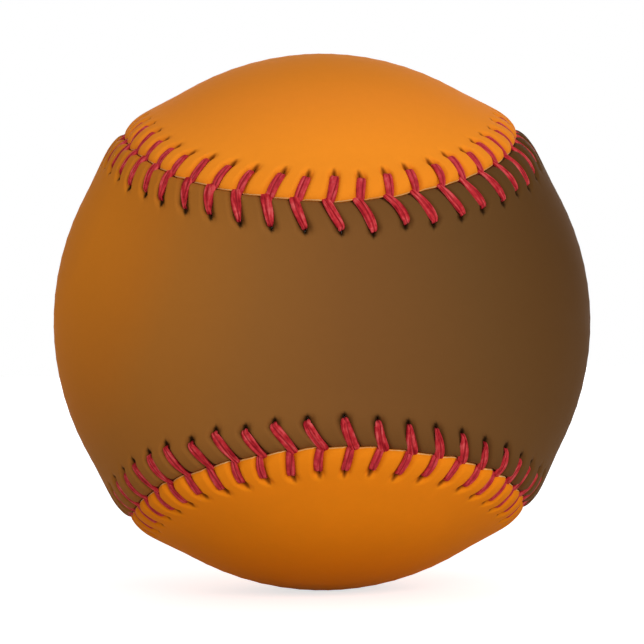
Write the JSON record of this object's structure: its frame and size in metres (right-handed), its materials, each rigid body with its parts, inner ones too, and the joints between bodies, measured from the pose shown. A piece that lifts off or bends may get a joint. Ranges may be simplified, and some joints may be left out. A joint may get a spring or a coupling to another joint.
{
  "type": "baseball",
  "caption": "Leather-covered ball sewn from two figure-eight panels, orange and brown, with raised red stitches over wound yarn and a cork and rubber centre.",
  "frame": {"origin": "centre of the ball", "axes": "+Y through the middle of the orange panel's waist, -Y through the middle of the brown panel's waist, which faces the viewer; +Z and -Z through the middles of the orange lobes; +X and -X through the middles of the brown lobes"},
  "size_m": [0.074, 0.074, 0.074],
  "materials": {
    "cork": "matte ground cork and rubber",
    "black_rubber": "moulded, dull",
    "red_rubber": "moulded, dull",
    "grey_yarn": "wound wool yarn",
    "white_yarn": "wound wool yarn",
    "finishing_yarn": "fine wound poly-cotton yarn",
    "orange_leather": "smooth, satin",
    "brown_leather": "smooth, satin, fading from orange-brown at -X to dark brown at +X",
    "red_thread": "waxed twisted thread"
  },
  "bodies": {
    "root": {"cork_core": "cork", "inner_cup_top": "black_rubber", "inner_cup_bottom": "black_rubber", "cup_gasket": "red_rubber", "outer_shell_top": "red_rubber", "outer_shell_bottom": "red_rubber", "winding_grey_four_ply": "grey_yarn", "winding_white_three_ply": "white_yarn", "winding_grey_three_ply": "grey_yarn", "winding_finishing_yarn": "finishing_yarn", "cover_panel_orange": "orange_leather", "cover_panel_brown": "brown_leather", "seam_thread": "red_thread"}
  },
  "joints": []
}
